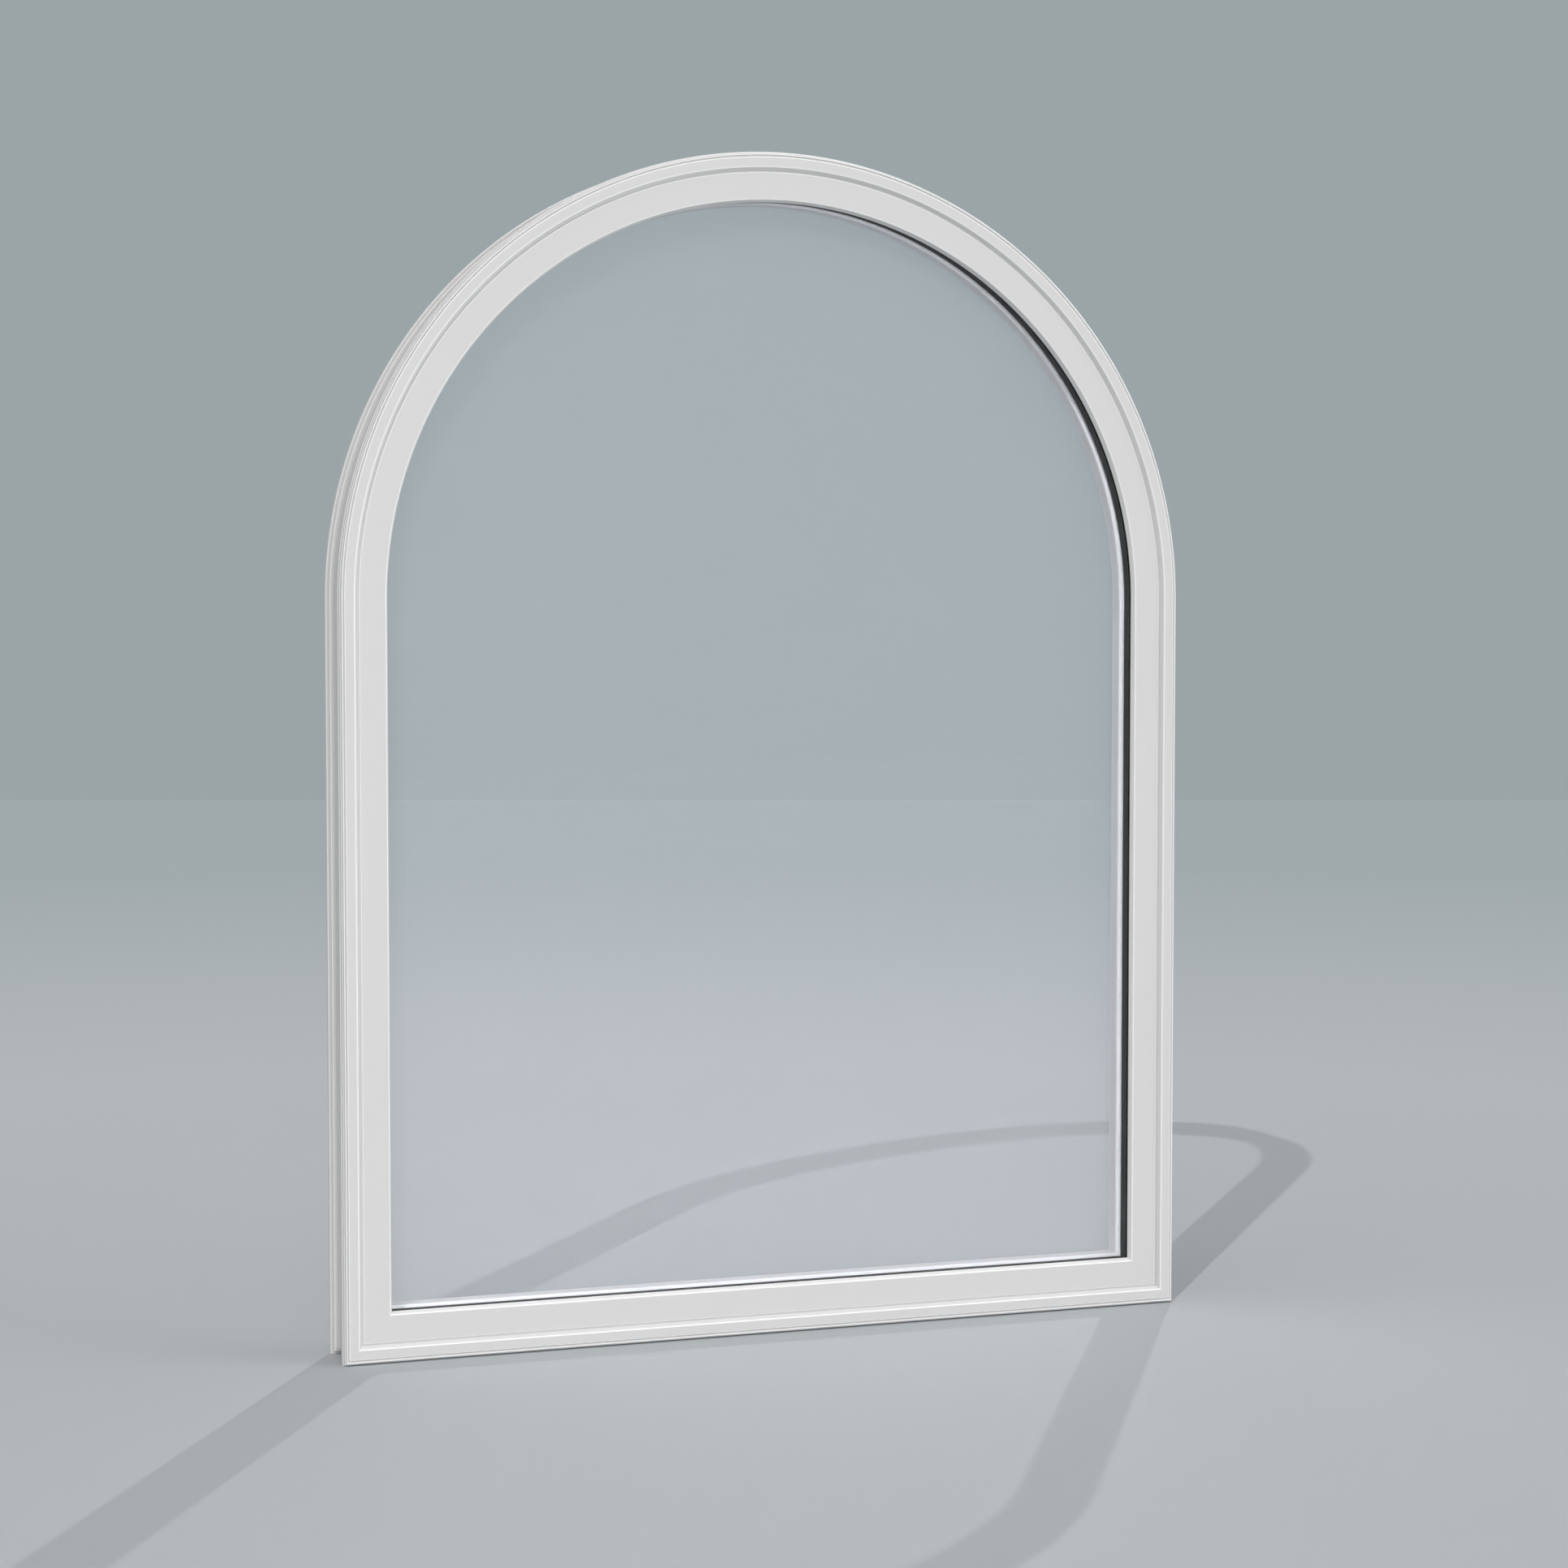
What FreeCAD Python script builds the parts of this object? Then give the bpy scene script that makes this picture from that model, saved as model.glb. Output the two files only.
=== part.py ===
import FreeCAD
import Part
import os

# Arched-top fixed window in welded vinyl: a hollow extruded frame with a stepped face, mitred at the
# sill and bent round the head, a sealed glazing unit, snap-in beads and gaskets.
# Millimetres. X runs along the sill, +Y points into the room, +Z is up, and the origin is under the
# middle of the sill, half way through its depth.
# A section is drawn as (inward, depth): inward from the outermost wall side, depth from the front rim.

Vector = FreeCAD.Vector

# An eased edge takes at most this share of a neighbouring side
EASE_LIMIT = 0.45

# Overall size of the frame
frame_width = 900.0
frame_height = 1200.0
frame_depth = 70.0

# Front face of the frame, from the outer edge inwards
rim_inset = 2.6
rim_slope = 2.4
lip_ease = 0.6
lip_width = 10.0
step_slope = 3.1
groove_width = 1.0
face_ease = 1.3
face_width = 26.8
reveal_slope = 2.6

# Depths of the front face, each measured from the one before
rim_height = 0.8
rim_groove = 0.6
step_height = 3.6
face_groove = 0.7
reveal_depth = 6.6

# Wall side of the frame: rim, shoulder, front foot, channel, ledge and rear foot
rim_depth = 3.4
shoulder_inset = 1.1
shoulder_depth = 4.1
front_foot_width = 7.5
channel_depth = 6.6
ledge_width = 3.6
ledge_inset = 3.3
rear_foot_width = 7.4

# Walls of the hollow section
wall = 2.5
web = 1.6
chamber_count = 3

# Rebate for the glazing unit
upstand = 19.8
edge_gap = 5.0

# Sealed glazing unit
pane_thickness = 4.0
cavity = 12.0
spacer_height = 7.0
seal_height = 4.7
seal_inset = 0.5

# Gaskets, with a key that presses into a slot
gasket_height = 7.0
gasket_thickness = 2.1
gasket_inset = 0.5
key_width = 1.8
key_depth = 1.6
key_offset = 4.0
key_clearance = 0.1

# Glazing beads, with a foot that snaps into the rebate floor
bead_depth = 20.0
bead_fall = 0.6
bead_inset = 0.3
bead_wall = 1.8
snap_offset = 8.0
snap_width = 3.0
snap_depth = 2.2
snap_clearance = 0.2

# Setting blocks under the glass
block_length = 100.0
block_overhang = 1.0

# Eased edges of the extrusions
edge_ease = 0.6
bead_bevel = 5.0

# Places worked out from the sizes above
half_width = frame_width / 2
half_depth = frame_depth / 2
spring_height = frame_height - half_width

rim_foot = rim_inset + rim_slope
lip_outer = rim_foot + lip_ease
lip_inner = lip_outer + lip_width
step_foot = lip_inner + step_slope
groove_inner = step_foot + groove_width
face_outer = groove_inner + face_ease
face_inner = face_outer + face_width
nose = face_inner + reveal_slope
floor = nose - upstand
glass_edge = floor + edge_gap

lip_plane = rim_height
face_plane = lip_plane + step_height
groove_plane = face_plane + face_groove
nose_plane = face_plane + reveal_depth
outer_pane_front = nose_plane + gasket_thickness
cavity_front = outer_pane_front + pane_thickness
cavity_back = cavity_front + cavity
inner_pane_back = cavity_back + pane_thickness
bead_front = inner_pane_back + gasket_thickness
bead_back = bead_front + bead_depth
bead_top = nose - bead_inset

key_slot = key_width + 2 * key_clearance
gasket_inner = nose - gasket_inset
gasket_outer = gasket_inner - gasket_height
key_middle = gasket_inner - key_offset
snap_front = bead_front + snap_offset


def eased_corner(before, corner, after, ease):
    """The two points that replace a corner whose edge is eased by a small flat."""
    to_before = before - corner
    to_after = after - corner
    reach = min(ease, EASE_LIMIT * to_before.Length, EASE_LIMIT * to_after.Length)
    return [corner + to_before.normalize() * reach, corner + to_after.normalize() * reach]


def outline(corners, place):
    """Closed wire through (inward, depth) corners; a third number eases that corner."""
    corner_points = [Vector(corner[0], corner[1], 0) for corner in corners]
    points = []
    for index, corner in enumerate(corners):
        here = corner_points[index]
        if len(corner) == 3:
            before = corner_points[index - 1]
            after = corner_points[(index + 1) % len(corners)]
            points += eased_corner(before, here, after, corner[2])
        else:
            points.append(here)
    placed = [place(point) for point in points]
    return Part.makePolygon(placed + placed[:1])


def section(corners, holes, place):
    """Face of a section with its hollow chambers."""
    wires = [outline(corners, place)]
    wires += [outline(hole, place) for hole in holes]
    return Part.makeFace(wires, "Part::FaceMakerBullseye")


def sill_place(point):
    return Vector(-half_width, point.y - half_depth, point.x)


def left_place(point):
    return Vector(point.x - half_width, point.y - half_depth, 0)


def right_place(point):
    return Vector(half_width - point.x, point.y - half_depth, 0)


def head_place(point):
    return Vector(half_width - point.x, point.y - half_depth, spring_height)


def mitre_region(corners):
    """Prism through the whole depth over a polygon of (x, z) corners."""
    points = [Vector(x, -half_depth, z) for x, z in corners]
    wire = Part.makePolygon(points + points[:1])
    return Part.Face(wire).extrude(Vector(0, frame_depth, 0))


def sill_region():
    inner = half_width - nose
    return mitre_region([(-half_width, 0), (half_width, 0), (inner, nose), (-inner, nose)])


def jamb_region(side):
    inner = half_width - nose
    return mitre_region([
        (side * half_width, 0),
        (side * inner, nose),
        (side * inner, spring_height),
        (side * half_width, spring_height),
    ])


def members(corners, holes=()):
    """Sill, jambs and bent head of one section: mitred at the bottom, butted at the spring line."""
    along_sill = Vector(frame_width, 0, 0)
    up_jamb = Vector(0, 0, spring_height)
    head_centre = Vector(0, 0, spring_height)
    head_axis = Vector(0, -1, 0)
    sill = section(corners, holes, sill_place).extrude(along_sill)
    left = section(corners, holes, left_place).extrude(up_jamb)
    right = section(corners, holes, right_place).extrude(up_jamb)
    head = section(corners, holes, head_place).revolve(head_centre, head_axis, 180)
    return {
        "sill": sill.common(sill_region()),
        "left": left.common(jamb_region(-1)),
        "right": right.common(jamb_region(1)),
        "arch": head,
    }


def ring(corners):
    """The same four members joined into one closed ring."""
    parts = list(members(corners).values())
    return parts[0].multiFuse(parts[1:]).removeSplitter()


def box_corners(inner, outer, front, back):
    return [(outer, front), (inner, front), (inner, back), (outer, back)]


def frame_corners():
    """Outline of the extruded frame section, from the front rim round by the wall side."""
    foot_front = rim_depth + shoulder_depth
    foot_back = foot_front + front_foot_width
    rear_foot_front = frame_depth - rear_foot_width
    ledge_front = rear_foot_front - ledge_width
    wall_side = [
        (rim_inset, 0),
        (rim_inset, rim_depth),
        (shoulder_inset, rim_depth),
        (shoulder_inset, foot_front),
        (0, foot_front),
        (0, foot_back),
        (channel_depth, foot_back),
        (channel_depth, ledge_front),
        (ledge_inset, ledge_front),
        (ledge_inset, rear_foot_front),
        (0, rear_foot_front),
        (0, frame_depth, edge_ease),
    ]
    snap_slot_back = snap_front + snap_width + snap_clearance
    snap_slot_front = snap_front - snap_clearance
    snap_slot_floor = floor - snap_depth - snap_clearance
    key_slot_floor = nose_plane - key_depth - key_clearance
    rebate = [
        (floor, frame_depth, edge_ease),
        (floor, snap_slot_back),
        (snap_slot_floor, snap_slot_back),
        (snap_slot_floor, snap_slot_front),
        (floor, snap_slot_front),
        (floor, nose_plane),
        (key_middle - key_slot / 2, nose_plane),
        (key_middle - key_slot / 2, key_slot_floor),
        (key_middle + key_slot / 2, key_slot_floor),
        (key_middle + key_slot / 2, nose_plane),
    ]
    front = [
        (nose, nose_plane, edge_ease),
        (face_inner, face_plane, edge_ease),
        (face_outer, face_plane),
        (groove_inner, groove_plane),
        (step_foot, groove_plane),
        (lip_inner, lip_plane, edge_ease),
        (lip_outer, lip_plane),
        (rim_foot, lip_plane + rim_groove),
    ]
    return wall_side + rebate + front


def frame_chambers():
    """Hollow chambers of the frame section, in a row through its depth."""
    outer = channel_depth + wall
    inner = floor - snap_depth - snap_clearance - wall
    front = groove_plane + wall
    back = frame_depth - wall
    pitch = (back - front + web) / chamber_count
    chambers = []
    for index in range(chamber_count):
        start = front + index * pitch
        chambers.append(box_corners(inner, outer, start, start + pitch - web))
    return chambers


def outer_gasket_corners():
    """Black seal between the nose of the frame and the outer pane."""
    key_front = nose_plane - key_depth
    return [
        (gasket_outer, outer_pane_front),
        (gasket_outer, nose_plane),
        (key_middle - key_width / 2, nose_plane),
        (key_middle - key_width / 2, key_front),
        (key_middle + key_width / 2, key_front),
        (key_middle + key_width / 2, nose_plane),
        (gasket_inner, nose_plane),
        (gasket_inner, outer_pane_front),
    ]


def inner_gasket_corners():
    """Pale seal between the inner pane and the bead."""
    key_back = bead_front + key_depth
    tip = bead_top - bead_fall
    return [
        (gasket_outer, inner_pane_back),
        (tip, inner_pane_back),
        (tip, bead_front),
        (key_middle + key_width / 2, bead_front),
        (key_middle + key_width / 2, key_back),
        (key_middle - key_width / 2, key_back),
        (key_middle - key_width / 2, bead_front),
        (gasket_outer, bead_front),
    ]


def bead_corners():
    """Outline of the snap-in bead: foot, bevelled room side and sloping sight edge."""
    key_slot_back = bead_front + key_depth + key_clearance
    return [
        (floor, bead_front),
        (key_middle - key_slot / 2, bead_front),
        (key_middle - key_slot / 2, key_slot_back),
        (key_middle + key_slot / 2, key_slot_back),
        (key_middle + key_slot / 2, bead_front),
        (bead_top - bead_fall, bead_front),
        (bead_top, bead_back, bead_bevel),
        (floor, bead_back),
        (floor, snap_front + snap_width),
        (floor - snap_depth, snap_front + snap_width),
        (floor - snap_depth, snap_front),
        (floor, snap_front),
    ]


def bead_chamber():
    """Hollow of the bead, below the slot of the gasket key."""
    inner = key_middle - key_slot / 2 - bead_wall
    return box_corners(inner, floor + bead_wall, bead_front + bead_wall, bead_back - bead_wall)


def pane(front):
    """Sheet of glass with a semicircular top."""
    reach = half_width - glass_edge
    back = front - half_depth
    left_foot = Vector(-reach, back, glass_edge)
    right_foot = Vector(reach, back, glass_edge)
    right_spring = Vector(reach, back, spring_height)
    left_spring = Vector(-reach, back, spring_height)
    crown = Vector(0, back, spring_height + reach)
    wire = Part.Wire([
        Part.LineSegment(left_foot, right_foot).toShape(),
        Part.LineSegment(right_foot, right_spring).toShape(),
        Part.Arc(right_spring, crown, left_spring).toShape(),
        Part.LineSegment(left_spring, left_foot).toShape(),
    ])
    return Part.Face(wire).extrude(Vector(0, pane_thickness, 0))


def setting_block(side):
    """Block between the rebate floor and the glass, at a quarter of the glass width."""
    middle = side * (half_width - glass_edge) / 2
    front = outer_pane_front - block_overhang
    back = inner_pane_back + block_overhang
    corner = Vector(middle - block_length / 2, front - half_depth, floor)
    return Part.makeBox(block_length, back - front, edge_gap, corner)


def build():
    """All pieces of the window by name."""
    pieces = {}
    frame = members(frame_corners(), frame_chambers())
    pieces["frame_sill"] = frame["sill"]
    pieces["frame_left_jamb"] = frame["left"]
    pieces["frame_right_jamb"] = frame["right"]
    pieces["frame_arch_head"] = frame["arch"]

    pieces["outer_pane"] = pane(outer_pane_front)
    pieces["inner_pane"] = pane(cavity_back)
    seal_outer = glass_edge + seal_inset
    seal_inner = seal_outer + seal_height
    sight_line = seal_inner + spacer_height
    pieces["edge_seal"] = ring(box_corners(seal_inner, seal_outer, cavity_front, cavity_back))
    pieces["spacer"] = ring(box_corners(sight_line, seal_inner, cavity_front, cavity_back))

    strips = {
        "outer_gasket": members(outer_gasket_corners()),
        "inner_gasket": members(inner_gasket_corners()),
        "bead": members(bead_corners(), [bead_chamber()]),
    }
    for strip, lengths in strips.items():
        for place, shape in lengths.items():
            pieces[strip + "_" + place] = shape

    pieces["left_setting_block"] = setting_block(-1)
    pieces["right_setting_block"] = setting_block(1)
    return pieces


os.makedirs("parts", exist_ok=True)
for name, shape in build().items():
    shape.exportStep("parts/" + name + ".step")
    print(name, shape.ShapeType, len(shape.Solids), shape.isValid(), round(shape.Volume))
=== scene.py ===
import math

import bmesh
import bpy
from mathutils import Matrix, Vector


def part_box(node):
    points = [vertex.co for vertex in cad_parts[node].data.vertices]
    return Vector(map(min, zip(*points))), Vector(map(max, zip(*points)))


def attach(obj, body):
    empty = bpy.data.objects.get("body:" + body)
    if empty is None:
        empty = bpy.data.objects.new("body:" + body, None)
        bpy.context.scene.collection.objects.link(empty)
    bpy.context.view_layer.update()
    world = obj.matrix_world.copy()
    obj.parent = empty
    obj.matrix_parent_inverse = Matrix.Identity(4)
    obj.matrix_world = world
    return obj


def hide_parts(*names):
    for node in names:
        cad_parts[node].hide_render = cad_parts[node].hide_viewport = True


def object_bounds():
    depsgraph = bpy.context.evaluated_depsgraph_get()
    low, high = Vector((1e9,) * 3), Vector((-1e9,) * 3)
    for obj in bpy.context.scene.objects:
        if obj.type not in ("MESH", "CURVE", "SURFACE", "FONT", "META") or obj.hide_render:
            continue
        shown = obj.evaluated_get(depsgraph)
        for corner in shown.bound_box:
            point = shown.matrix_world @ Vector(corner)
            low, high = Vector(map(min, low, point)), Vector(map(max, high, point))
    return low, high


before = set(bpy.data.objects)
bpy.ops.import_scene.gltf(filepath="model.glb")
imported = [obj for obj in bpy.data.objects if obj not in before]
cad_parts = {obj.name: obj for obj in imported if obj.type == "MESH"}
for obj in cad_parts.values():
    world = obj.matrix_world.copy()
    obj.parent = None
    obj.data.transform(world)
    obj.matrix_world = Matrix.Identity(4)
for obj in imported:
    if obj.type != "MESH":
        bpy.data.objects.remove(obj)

# Arched-top fixed window: welded vinyl frame, sealed double glazing, beads and gaskets.
# Metres, in the frame's own axes: +X along the sill, +Y into the room, +Z up.
# A section is drawn in (inward, y), where inward starts at the outermost wall side of the frame.

cad_low, cad_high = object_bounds()

# Places read from the frame
half_width = cad_high.x
spring_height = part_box("frame_left_jamb")[1].z
spring_centre = Vector((0, spring_height))
jamb_middle = spring_height / 2

# How finely curves are drawn
ARCH_STEPS = 144
ARC_STEP = math.radians(24)
FEWEST_ARC_STEPS = 2
WELD_DISTANCE = 1e-6
STRAIGHT_ENOUGH = 1e-3

# Share of a side that the rounding of one corner may take
ROUNDING_LIMIT = 0.45

# A side longer than this is a flat, where the painted highlight of an edge and the painted shade of a
# groove fade out over a short way
LONG_SIDE = 0.0012
RIDGE_FADE = 0.0001

# Depth of the quirk between the frame's rim and its lip
quirk_depth = 0.0028

# Rounded edges of each strip
vinyl_rounding = 0.0009
rubber_rounding = 0.0005
spacer_rounding = 0.0006

# Ground edge of a glass sheet, and the gap that keeps its faces off what holds it
glass_arris = 0.0006
glass_clearance = 0.0001

# Drawn strips: length of a patch of tone and of a die line, how strong the painted highlight on
# rounded edges is, and how strong the painted shade in grooves is
patch_length = 0.2
streak_length = 0.4
edge_amount = 0.8
dust_amount = 0.2

# Moulded pieces: size of the clouds in their tone
cloud_size = 0.03

# Glass: patches and greatest roughness of the film on it, and the share of a lamp that it lets by
film_patch = 0.35
film_roughness = 0.003
lamp_share = 0.97

# Index of refraction of plastic, rubber and glass alike
refraction = 1.5

# Places of the colour sockets on a mix node, where other kinds of socket have the same names
MIX_SHARE = 0
MIX_FIRST = 6
MIX_SECOND = 7
MIX_RESULT = 2

# Camera
camera_place = (-1.1505, -3.2469, 0.7518)
camera_pitch = math.radians(-3.157)
camera_yaw = math.radians(-19.820)
camera_turn = (math.pi / 2 + camera_pitch, 0, camera_yaw)
camera_lens = 77.325
sensor_width = 36

# Studio
floor_reach = 9.1
# Floor colour by distance from the window: painted shade at the window's foot, lightest 2 m out,
# fading into the backdrop's tone further away
painted_floor_tones = (
    (0.0, (0.436, 0.461, 0.479, 1)),
    (2.0, (0.471, 0.501, 0.522, 1)),
    (5.9, (0.379, 0.430, 0.446, 1)),
)
backdrop_colour = (0.328, 0.376, 0.386, 1)
ambient_colour = (0.156, 0.150, 0.147, 1)
softboxes = {
    "key_softbox": {"towards": (0.811, -0.568, 0.139), "strength": 1.85, "spread": 45},
    "top_softbox": {"towards": (-0.15, -0.30, 0.94), "strength": 0.95, "spread": 50},
    "room_softbox": {"towards": (0.15, 0.985, 0.08), "strength": 0.8, "spread": 50},
}
hard_lamps = {
    "left_lamp": {"towards": (-0.465, -0.595, 0.656), "strength": 1.0, "spread": 0.5},
    "rear_lamp": {"towards": (0.373, 0.621, 0.69), "strength": 0.68, "spread": 0.5},
}
fill_power = 77
fill_radius = 0.3
fill_cone = math.radians(46)
fill_fade = 0.5


# Sections of the strips, cut from the frame

def closed_loops(edges):
    """Loops of points that a list of edges makes."""
    unused = list(edges)
    loops = []
    while unused:
        start, here = unused.pop(0).verts
        loop = [start.co.copy()]
        while here != start:
            loop.append(here.co.copy())
            edge = next(candidate for candidate in unused if here in candidate.verts)
            unused.remove(edge)
            here = edge.other_vert(here)
        loops.append(loop)
    return loops


def signed_area(corners):
    """Area of an outline, negative where it runs clockwise."""
    pairs = zip(corners, corners[1:] + corners[:1])
    return sum(here.cross(after) for here, after in pairs) / 2


def is_corner(before, here, after):
    """Whether an outline turns at a point."""
    into = here - before
    out = after - here
    return abs(into.cross(out)) > STRAIGHT_ENOUGH * into.length * out.length


def jamb_section(node):
    """Corners of a node's outline, counter-clockwise, where a level plane cuts the left jamb."""
    shape = bmesh.new()
    shape.from_mesh(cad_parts[node].data)
    bmesh.ops.remove_doubles(shape, verts=shape.verts, dist=WELD_DISTANCE)
    everything = shape.verts[:] + shape.edges[:] + shape.faces[:]
    cut = bmesh.ops.bisect_plane(
        shape, geom=everything, plane_co=(0, 0, jamb_middle), plane_no=(0, 0, 1)
    )
    edges = [part for part in cut["geom_cut"] if isinstance(part, bmesh.types.BMEdge)]
    outlines = []
    for loop in closed_loops(edges):
        if loop[0].x < 0:
            outlines.append([Vector((point.x + half_width, point.y)) for point in loop])
    shape.free()
    # The largest loop is the outline, and the others are the chambers in it
    outline = max(outlines, key=lambda points: abs(signed_area(points)))
    if signed_area(outline) < 0:
        outline.reverse()
    corners = []
    for index, here in enumerate(outline):
        after = outline[(index + 1) % len(outline)]
        if is_corner(outline[index - 1], here, after):
            corners.append(here)
    # Every outline starts at its outermost corner on the room side
    first = max(range(len(corners)), key=lambda index: corners[index].y - corners[index].x)
    return corners[first:] + corners[:first]


def rounded(corners, radius):
    """Section with every corner turned into an arc, as (place, normal, ridge) points.

    The ridge is 1 on a rounded edge, -1 in a rounded groove and 0 where a flat begins; finishes paint
    highlight on the edges and shade in the grooves by it.
    """
    section = []
    for index, corner in enumerate(corners):
        into = corner - corners[index - 1]
        out = corners[(index + 1) % len(corners)] - corner
        shorter = min(into.length, out.length)
        from_flat = into.length > LONG_SIDE
        to_flat = out.length > LONG_SIDE
        into.normalize()
        out.normalize()
        turn = math.atan2(into.cross(out), into.dot(out))
        half_tangent = math.tan(abs(turn) / 2)
        reach = min(radius * half_tangent, ROUNDING_LIMIT * shorter)
        arc_radius = math.copysign(reach / half_tangent, turn)
        start_normal = Vector((into.y, -into.x))
        end_normal = Vector((out.y, -out.x))
        centre = corner - into * reach - start_normal * arc_radius
        ridge = math.copysign(1, turn)
        steps = max(FEWEST_ARC_STEPS, round(abs(turn) / ARC_STEP))
        if from_flat:
            section.append((corner - into * (reach + RIDGE_FADE), start_normal, 0.0))
        for step in range(steps + 1):
            normal = Matrix.Rotation(turn * step / steps, 2) @ start_normal
            section.append((centre + normal * arc_radius, normal, ridge))
        if to_flat:
            section.append((corner + out * (reach + RIDGE_FADE), end_normal, 0.0))
    return section


# Runs that the strips follow

# A station is its outermost point and the way inward, both in (x, z). A run is a list of stations
# and, for each span between two of them, the ways that its inner side faces at its two ends.

def corner_station(side):
    """Mitre at a bottom corner, where the way inward leads up as fast as it leads in."""
    return Vector((side * half_width, 0)), Vector((-side, 1))


def arch_station(angle):
    """Place on the arch, from the left spring at angle 0 to the right spring at pi."""
    inward = Vector((math.cos(angle), -math.sin(angle)))
    return spring_centre - inward * half_width, inward


def arch_run():
    stations = [arch_station(math.pi * step / ARCH_STEPS) for step in range(ARCH_STEPS + 1)]
    facings = [inward for outermost, inward in stations]
    return stations, list(zip(facings, facings[1:]))


def straight_run(start, end, facing):
    return [start, end], [(Vector(facing), Vector(facing))]


runs = {
    "left": straight_run(corner_station(-1), arch_station(0), (1, 0)),
    "arch": arch_run(),
    "right": straight_run(arch_station(math.pi), corner_station(1), (-1, 0)),
    "sill": straight_run(corner_station(1), corner_station(-1), (0, 1)),
}


def ring_run():
    """The four runs end to end, as one closed loop."""
    ring_stations = []
    ring_facings = []
    for stations, facings in runs.values():
        ring_stations += stations[:-1]
        ring_facings += facings
    return ring_stations, ring_facings


def carried_points(places, stations):
    """Points of a section at each station of a run."""
    points = []
    for outermost, inward in stations:
        for place in places:
            spot = outermost + inward * place.x
            points.append(Vector((spot.x, place.y, spot.y)))
    return points


def flat_normal(corners):
    """Way that a flat face looks."""
    total = Vector((0, 0, 0))
    for here, after in zip(corners, corners[1:] + corners[:1]):
        total += here.cross(after)
    return total.normalized()


def new_object(name, data):
    made = bpy.data.objects.new(name, data)
    bpy.context.scene.collection.objects.link(made)
    return made


def strip(name, section, run):
    """Strip of one section along a run, with the normals of its true curves."""
    stations, facings = run
    count = len(section)
    points = carried_points([place for place, normal, ridge in section], stations)
    faces = []
    normals = []
    for index, span_facings in enumerate(facings):
        here = index * count
        there = (index + 1) % len(stations) * count
        for step in range(count):
            after = (step + 1) % count
            faces.append((here + step, here + after, there + after, there + step))
            for end, corner in ((0, step), (0, after), (1, after), (1, step)):
                normal = section[corner][1]
                facing = span_facings[end]
                normals.append((facing.x * normal.x, normal.y, facing.y * normal.x))
    # A run that doesn't come back to its start is closed at both ends
    if len(facings) < len(stations):
        last = len(points) - count
        for end in (range(count - 1, -1, -1), range(last, last + count)):
            faces.append(tuple(end))
            normals += [flat_normal([points[corner] for corner in end])] * count
    mesh = bpy.data.meshes.new(name)
    mesh.from_pydata(points, [], faces)
    mesh.shade_smooth()
    mesh.normals_split_custom_set(normals)
    add_finish_coordinates(mesh, section, stations)
    return new_object(name, mesh)


def running_lengths(places):
    """Distance from the first of a row of places to each of them, by way of those between."""
    lengths = [0.0]
    for here, after in zip(places, places[1:]):
        lengths.append(lengths[-1] + (after - here).length)
    return lengths


def add_finish_coordinates(mesh, section, stations):
    """Distance along and across a strip, and its edges and grooves, where its finish paints highlight
    on the edges and shade in the grooves.
    """
    along = running_lengths([outermost for outermost, inward in stations])
    across = running_lengths([place for place, normal, ridge in section])
    spots = [value for distance in along for offset in across for value in (distance, offset, 0)]
    coordinates = mesh.attributes.new("strip_coordinates", "FLOAT_VECTOR", "POINT")
    coordinates.data.foreach_set("vector", spots)
    ridges = [ridge for place, normal, ridge in section] * len(along)
    ridge_values = mesh.attributes.new("ridge", "FLOAT", "POINT")
    ridge_values.data.foreach_set("value", ridges)


def glass_sheet(name, node):
    """Sheet with a semicircular top and ground edges."""
    low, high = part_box(node)
    inset = half_width - high.x
    front = low.y + glass_clearance
    back = high.y - glass_clearance
    places = [
        Vector((inset + glass_arris, front)),
        Vector((inset, front + glass_arris)),
        Vector((inset, back - glass_arris)),
        Vector((inset + glass_arris, back)),
    ]
    stations = ring_run()[0]
    points = carried_points(places, stations)
    count = len(places)
    faces = []
    for index in range(len(stations)):
        here = index * count
        there = (index + 1) % len(stations) * count
        for step in range(count - 1):
            faces.append((here + step, there + step, there + step + 1, here + step + 1))
    faces.append(tuple(range(0, len(points), count)))
    faces.append(tuple(range(len(points) - 1, -1, -count)))
    mesh = bpy.data.meshes.new(name)
    mesh.from_pydata(points, [], faces)
    return new_object(name, mesh)


# Shader nodes and the groups that the finishes share

def add_node(tree, kind, inputs=None, **settings):
    """Node with its settings, and with each input given a value or a link."""
    made = tree.nodes.new(kind)
    for setting, value in settings.items():
        setattr(made, setting, value)
    for socket, value in (inputs or {}).items():
        if isinstance(value, bpy.types.NodeSocket):
            tree.links.new(value, made.inputs[socket])
        else:
            made.inputs[socket].default_value = value
    return made


def add_group(tree, group, **inputs):
    """A shared group in a material: its one output."""
    named = {socket.replace("_", " ").title(): value for socket, value in inputs.items()}
    return add_node(tree, "ShaderNodeGroup", named, node_tree=group).outputs[0]


def new_group(name, inputs, outputs):
    """Empty node group with its sockets: inputs as (kind, value), outputs as kind."""
    group = bpy.data.node_groups.new(name, "ShaderNodeTree")
    for socket, (kind, value) in inputs.items():
        made = group.interface.new_socket(name=socket, in_out="INPUT", socket_type=kind)
        made.default_value = value
    for socket, kind in outputs.items():
        group.interface.new_socket(name=socket, in_out="OUTPUT", socket_type=kind)
    return group, group.nodes.new("NodeGroupInput"), group.nodes.new("NodeGroupOutput")


def blend(tree, share, first, second):
    """Colour between two others."""
    inputs = {MIX_SHARE: share, MIX_FIRST: first, MIX_SECOND: second}
    return add_node(tree, "ShaderNodeMix", inputs, data_type="RGBA").outputs[MIX_RESULT]


def between(tree, share, low, high):
    """Value from low to high as the share goes from 0 to 1."""
    scaled = add_node(tree, "ShaderNodeMapRange", {"Value": share, "To Min": low, "To Max": high})
    return scaled.outputs["Result"]


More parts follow.
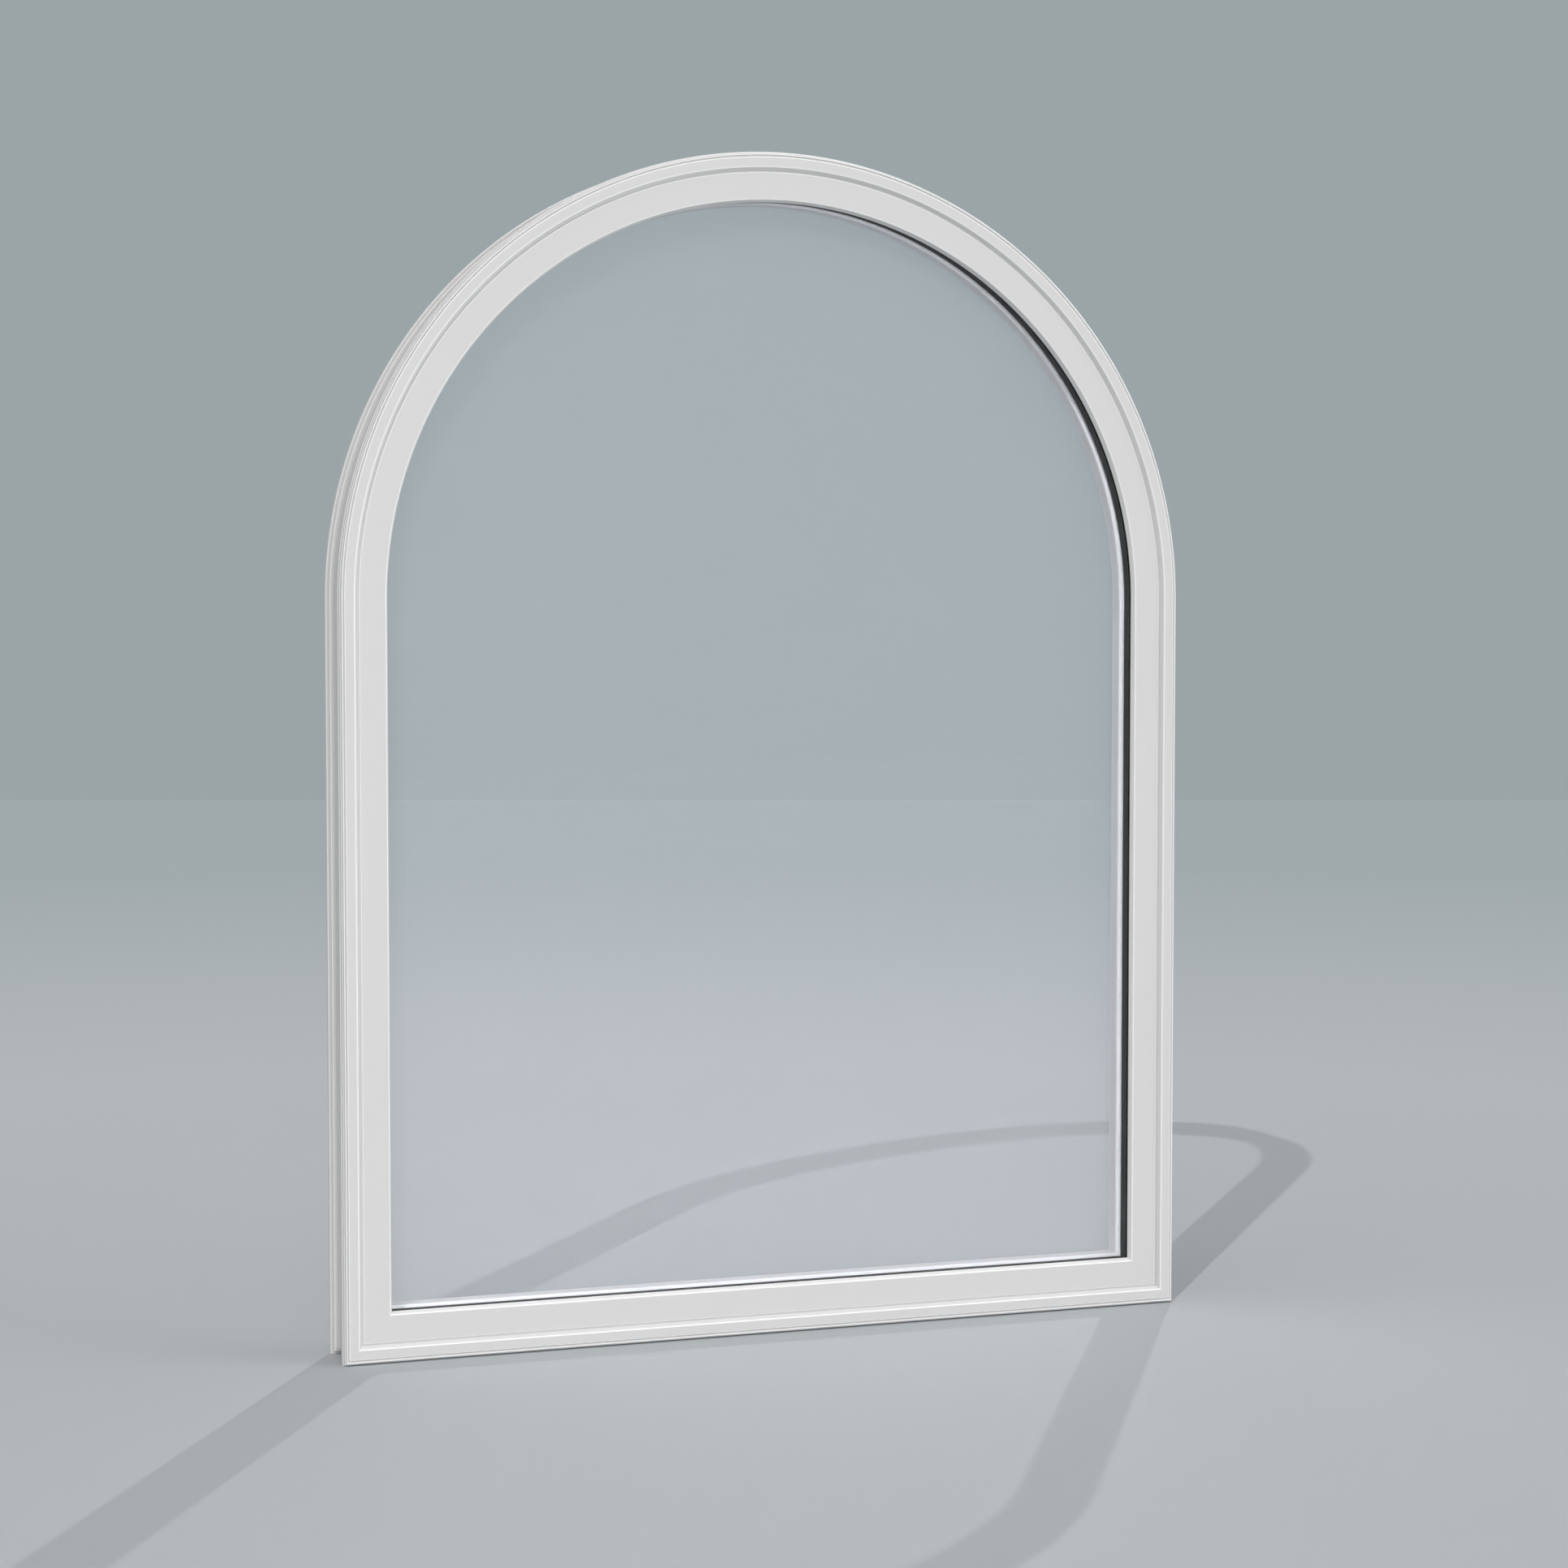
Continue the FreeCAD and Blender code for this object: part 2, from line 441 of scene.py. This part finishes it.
def build_die_lines():
    """Faint lines that the die leaves along a drawn strip."""
    group, entry, leave = new_group(
        "die_lines",
        {"Streak Length": ("NodeSocketFloat", 0.3), "Line Width": ("NodeSocketFloat", 0.001)},
        {"Lines": "NodeSocketFloat"},
    )
    place = add_node(group, "ShaderNodeAttribute", attribute_name="strip_coordinates")
    size = add_node(group, "ShaderNodeCombineXYZ", {
        "X": entry.outputs["Streak Length"],
        "Y": entry.outputs["Line Width"],
        "Z": 1.0,
    })
    stretched = add_node(group, "ShaderNodeVectorMath", {
        0: place.outputs["Vector"],
        1: size.outputs["Vector"],
    }, operation="DIVIDE")
    noise = add_node(group, "ShaderNodeTexNoise", {
        "Vector": stretched.outputs["Vector"],
        "Scale": 1.0,
        "Detail": 3.0,
        "Roughness": 0.6,
    }, noise_dimensions="2D")
    group.links.new(noise.outputs["Fac"], leave.inputs["Lines"])
    return group


def build_mottle():
    """Uneven tone or grain of a given size."""
    group, entry, leave = new_group(
        "mottle", {"Size": ("NodeSocketFloat", 0.1)}, {"Mottle": "NodeSocketFloat"}
    )
    place = add_node(group, "ShaderNodeTexCoord")
    scale = add_node(group, "ShaderNodeMath", {
        0: 1.0,
        1: entry.outputs["Size"],
    }, operation="DIVIDE")
    noise = add_node(group, "ShaderNodeTexNoise", {
        "Vector": place.outputs["Object"],
        "Scale": scale.outputs["Value"],
        "Detail": 4.0,
        "Roughness": 0.55,
    })
    group.links.new(noise.outputs["Fac"], leave.inputs["Mottle"])
    return group


def build_painted_highlight_and_shade():
    """Painted highlight on rounded edges, lighter than the flats beside them, and painted shade in
    the grooves.
    """
    group, entry, leave = new_group(
        "painted_highlight_and_shade",
        {
            "Color": ("NodeSocketColor", (0.8, 0.8, 0.8, 1)),
            "Edge Color": ("NodeSocketColor", (1, 1, 1, 1)),
            "Edge Amount": ("NodeSocketFloat", 1.0),
            "Dust Color": ("NodeSocketColor", (0.3, 0.3, 0.3, 1)),
            "Dust Amount": ("NodeSocketFloat", 1.0),
        },
        {"Color": "NodeSocketColor"},
    )
    ridge = add_node(group, "ShaderNodeAttribute", attribute_name="ridge")
    colour = entry.outputs["Color"]
    # The ridge mask lays a painted highlight on the edges, then painted shade in the grooves
    for layer, full_ridge in (("Edge", 1), ("Dust", -1)):
        share = add_node(group, "ShaderNodeMapRange", {
            "Value": ridge.outputs["Fac"],
            "From Max": full_ridge,
            "To Max": entry.outputs[f"{layer} Amount"],
        })
        colour = blend(group, share.outputs["Result"], colour, entry.outputs[f"{layer} Color"])
    group.links.new(colour, leave.inputs["Color"])
    return group


die_lines = build_die_lines()
mottle = build_mottle()
painted_highlight_and_shade = build_painted_highlight_and_shade()


# Finishes

def new_material(name):
    material = bpy.data.materials.new(name)
    material.use_nodes = True
    material.node_tree.nodes.clear()
    return material, material.node_tree


def set_surface(tree, shader):
    add_node(tree, "ShaderNodeOutputMaterial", {"Surface": shader})


def grey(value):
    return (value, value, value, 1)


def drawn_finish(name, dark, light, edge, groove_shade, smooth, rough, line_width, line_depth):
    """Extruded plastic or rubber: slow changes of tone, die lines, painted highlight on the edges and
    painted shade in the grooves.
    """
    material, tree = new_material(name)
    body = blend(tree, add_group(tree, mottle, size=patch_length), dark, light)
    # The edge colour is a painted highlight, and the colour given for the grooves is painted shade
    colour = add_group(
        tree, painted_highlight_and_shade, color=body,
        edge_color=edge, edge_amount=edge_amount,
        dust_color=groove_shade, dust_amount=dust_amount,
    )
    lines = add_group(tree, die_lines, streak_length=streak_length, line_width=line_width)
    bump = add_node(tree, "ShaderNodeBump", {
        "Strength": 0.25,
        "Distance": line_depth,
        "Height": lines,
    })
    shader = add_node(tree, "ShaderNodeBsdfPrincipled", {
        "Base Color": colour,
        "Roughness": between(tree, lines, smooth, rough),
        "IOR": refraction,
        "Normal": bump.outputs["Normal"],
    })
    set_surface(tree, shader.outputs["BSDF"])
    return material


def moulded_finish(name, dark, light, grain_size, grain_depth, smooth, rough):
    """Matt moulded rubber, foam or sealant, with a fine grain."""
    material, tree = new_material(name)
    clouds = add_group(tree, mottle, size=cloud_size)
    grain = add_group(tree, mottle, size=grain_size)
    bump = add_node(tree, "ShaderNodeBump", {
        "Strength": 0.4,
        "Distance": grain_depth,
        "Height": grain,
    })
    shader = add_node(tree, "ShaderNodeBsdfPrincipled", {
        "Base Color": blend(tree, clouds, dark, light),
        "Roughness": between(tree, grain, smooth, rough),
        "IOR": refraction,
        "Specular IOR Level": 0.2,
        "Normal": bump.outputs["Normal"],
    })
    set_surface(tree, shader.outputs["BSDF"])
    return material


def float_glass(name, tint, clearness):
    """Sheet of float glass with a faint film, which lets the lamps' light through."""
    material, tree = new_material(name)
    film = add_group(tree, mottle, size=film_patch)
    shader = add_node(tree, "ShaderNodeBsdfPrincipled", {
        "Base Color": tint,
        "Roughness": between(tree, film, 0.0, film_roughness),
        "IOR": refraction,
        "Transmission Weight": clearness,
    })
    see_through = add_node(tree, "ShaderNodeBsdfTransparent", {"Color": grey(lamp_share)})
    rays = add_node(tree, "ShaderNodeLightPath")
    pane = add_node(tree, "ShaderNodeMixShader", {
        0: rays.outputs["Is Shadow Ray"],
        1: shader.outputs["BSDF"],
        2: see_through.outputs["BSDF"],
    })
    set_surface(tree, pane.outputs["Shader"])
    return material


# In each drawn finish, the colour given for the edges is a painted highlight and the colour given for
# the grooves is painted shade
white_vinyl = drawn_finish(
    "satin_white_vinyl",
    dark=(0.69, 0.68, 0.678, 1), light=(0.71, 0.70, 0.698, 1), edge=grey(0.97), groove_shade=grey(0.42),
    smooth=0.32, rough=0.42, line_width=0.0009, line_depth=0.00004,
)
black_gasket = drawn_finish(
    "black_gasket_rubber",
    dark=grey(0.055), light=grey(0.065), edge=grey(0.080), groove_shade=grey(0.045),
    smooth=0.5, rough=0.65, line_width=0.0005, line_depth=0.00005,
)
pale_gasket = drawn_finish(
    "pale_gasket_rubber",
    dark=grey(0.92), light=grey(0.95), edge=grey(0.97), groove_shade=grey(0.80),
    smooth=0.5, rough=0.62, line_width=0.0005, line_depth=0.00005,
)
black_spacer = moulded_finish(
    "black_spacer_foam",
    dark=grey(0.014), light=grey(0.020),
    grain_size=0.0012, grain_depth=0.00006, smooth=0.55, rough=0.75,
)
black_sealant = moulded_finish(
    "black_edge_sealant",
    dark=grey(0.030), light=grey(0.045),
    grain_size=0.006, grain_depth=0.0002, smooth=0.4, rough=0.6,
)
block_rubber = moulded_finish(
    "setting_block_rubber",
    dark=grey(0.070), light=grey(0.090),
    grain_size=0.0010, grain_depth=0.00008, smooth=0.6, rough=0.8,
)
panes = {
    "outer": float_glass("clear_float_glass", tint=(0.99, 1.0, 1.0, 1), clearness=1.0),
    "inner": float_glass("coated_float_glass", tint=(0.966, 0.968, 1.0, 1), clearness=0.957),
}


# Pieces of the window

def finish_piece(piece, material, node):
    """Give a piece its finish, and let it stand for its node of the frame."""
    piece.data.materials.append(material)
    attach(piece, "root")
    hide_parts(node)


def frame_section():
    """Section of the frame, with the narrow quirk behind its rim at its full depth."""
    corners = jamb_section("frame_left_jamb")
    rim = min(range(len(corners)), key=lambda index: corners[index].y)
    quirk = corners[rim + 1]
    quirk.y = corners[rim].y + quirk_depth
    return rounded(corners, vinyl_rounding)


def add_frame_members():
    """Two jambs, the arched head and the sill, all of one section."""
    section = frame_section()
    members = {
        "left": "frame_left_jamb",
        "arch": "frame_arch_head",
        "right": "frame_right_jamb",
        "sill": "frame_sill",
    }
    for side, node in members.items():
        member = strip(f"{side}_member", section, runs[side])
        finish_piece(member, white_vinyl, node)


def add_strips(kind, node_kind, rounding, material):
    """One strip a side, all of one section."""
    section = rounded(jamb_section(f"{node_kind}_left"), rounding)
    for side, run in runs.items():
        piece = strip(f"{side}_{kind}", section, run)
        finish_piece(piece, material, f"{node_kind}_{side}")


def add_sealed_unit():
    """Two sheets of glass, the spacer between them and the sealant round its outside."""
    for side, glass in panes.items():
        sheet = glass_sheet(f"{side}_sheet", f"{side}_pane")
        finish_piece(sheet, glass, f"{side}_pane")
    section = rounded(jamb_section("spacer"), spacer_rounding)
    spacer = strip("spacer_bar", section, ring_run())
    finish_piece(spacer, black_spacer, "spacer")
    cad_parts["edge_seal"].material_slots[0].material = black_sealant


def finish_setting_blocks():
    """The blocks under the glass keep the frame's own shape."""
    for side in ("left", "right"):
        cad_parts[f"{side}_setting_block"].material_slots[0].material = block_rubber


add_frame_members()
add_strips("bead_strip", "bead", vinyl_rounding, white_vinyl)
add_strips("outer_seal", "outer_gasket", rubber_rounding, black_gasket)
add_strips("inner_seal", "inner_gasket", rubber_rounding, pale_gasket)
add_sealed_unit()
finish_setting_blocks()


# Studio

def floor_material():
    """Pale floor coloured by distance from the window, with painted light: painted shade near the
    window's foot, lightest about 2 m out, then fading into the backdrop further away.
    """
    material, tree = new_material("studio_floor")
    place = add_node(tree, "ShaderNodeTexCoord")
    distance = add_node(tree, "ShaderNodeVectorMath", {
        0: place.outputs["Object"],
    }, operation="LENGTH")
    (start, colour), *further_tones = painted_floor_tones
    for end, end_colour in further_tones:
        share = add_node(tree, "ShaderNodeMapRange", {
            "Value": distance.outputs["Value"],
            "From Min": start,
            "From Max": end,
        })
        colour = blend(tree, share.outputs["Result"], colour, end_colour)
        start = end
    shader = add_node(tree, "ShaderNodeBsdfPrincipled", {
        "Base Color": colour,
        "Roughness": 0.9,
        "Specular IOR Level": 0.0,
    })
    set_surface(tree, shader.outputs["BSDF"])
    return material


def add_floor():
    """Square of floor, turned so that its far side is level for the camera."""
    mesh = bpy.data.meshes.new("studio_floor")
    corners = [(-1, -1), (1, -1), (1, 1), (-1, 1)]
    points = [(x * floor_reach, y * floor_reach, 0) for x, y in corners]
    mesh.from_pydata(points, [], [(0, 1, 2, 3)])
    mesh.materials.append(floor_material())
    floor = new_object("studio_floor", mesh)
    floor.rotation_euler.z = camera_yaw


def add_lamp(name, towards, strength, spread):
    """Distant lamp that shows in no reflection."""
    lamp = bpy.data.lights.new(name, "SUN")
    lamp.energy = strength
    lamp.angle = math.radians(spread)
    holder = new_object(name, lamp)
    holder.rotation_euler = Vector(towards).to_track_quat("Z", "Y").to_euler()
    holder.visible_glossy = False
    return holder


def add_lamps():
    """Softboxes, which don't show through the glass, and the hard lamps that cast the shadows."""
    for name, settings in softboxes.items():
        softbox = add_lamp(name, **settings)
        softbox.visible_transmission = False
    for name, settings in hard_lamps.items():
        add_lamp(name, **settings)


def add_fill():
    """Soft spot lamp at the camera, which lights the depths of the glazing that it sees."""
    lamp = bpy.data.lights.new("camera_fill", "SPOT")
    lamp.energy = fill_power
    lamp.shadow_soft_size = fill_radius
    lamp.spot_size = fill_cone
    lamp.spot_blend = fill_fade
    holder = new_object("camera_fill", lamp)
    holder.location = camera_place
    holder.rotation_euler = camera_turn
    holder.visible_camera = False
    holder.visible_glossy = False


def add_backdrop():
    """Even light from all round, with the backdrop's own colour where it is seen."""
    world = bpy.data.worlds.new("studio")
    world.use_nodes = True
    tree = world.node_tree
    tree.nodes.clear()
    rays = add_node(tree, "ShaderNodeLightPath")
    seen = rays.outputs["Is Camera Ray"]
    for kind in ("Is Glossy Ray", "Is Transmission Ray"):
        either = add_node(tree, "ShaderNodeMath", {
            0: seen,
            1: rays.outputs[kind],
        }, operation="MAXIMUM")
        seen = either.outputs["Value"]
    background = add_node(tree, "ShaderNodeBackground", {
        "Color": blend(tree, seen, ambient_colour, backdrop_colour),
    })
    add_node(tree, "ShaderNodeOutputWorld", {"Surface": background.outputs["Background"]})
    bpy.context.scene.world = world


def add_camera():
    """Camera at the photograph's viewing angle."""
    camera = bpy.data.cameras.new("photo_camera")
    camera.lens = camera_lens
    camera.sensor_width = sensor_width
    holder = new_object("photo_camera", camera)
    holder.location = camera_place
    holder.rotation_euler = camera_turn
    bpy.context.scene.camera = holder


add_floor()
add_lamps()
add_fill()
add_backdrop()
add_camera()
bpy.context.scene.view_settings.view_transform = "Standard"
